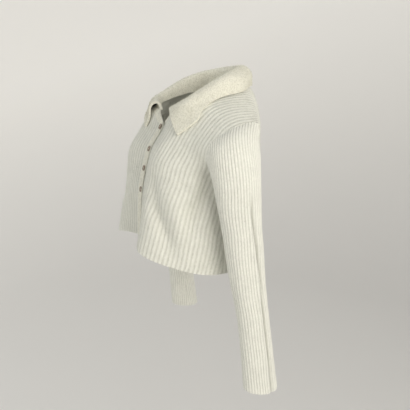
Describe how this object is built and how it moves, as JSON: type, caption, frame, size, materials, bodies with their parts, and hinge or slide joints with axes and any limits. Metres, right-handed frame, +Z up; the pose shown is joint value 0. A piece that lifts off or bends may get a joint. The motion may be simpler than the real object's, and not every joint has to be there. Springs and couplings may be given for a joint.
{
  "type": "knit polo sweater",
  "caption": "Cropped rib-knit polo cardigan with a wide turned-down collar, button bands, dropped shoulders and long open sleeves, in its hollow worn form.",
  "frame": {"origin": "middle of the neck opening, level with the neck side of the shoulder seams, where the wearer's shoulders hold it up", "axes": "+Z up, -Y the way the wearer faces, +X the wearer's left"},
  "size_m": [0.495, 0.307, 0.6806],
  "materials": {
    "rib_knit": "brushed rib knit, ivory",
    "flat_knit": "fine flat knit, cream",
    "button": "translucent brown horn look"
  },
  "bodies": {
    "root": {"back": "rib_knit", "front_left": "rib_knit", "front_right": "rib_knit", "sleeve_left": "rib_knit", "sleeve_right": "rib_knit", "collar": "flat_knit", "band_left": "flat_knit", "band_right": "flat_knit", "button_1": "button", "button_2": "button", "button_3": "button", "button_4": "button"}
  },
  "joints": []
}
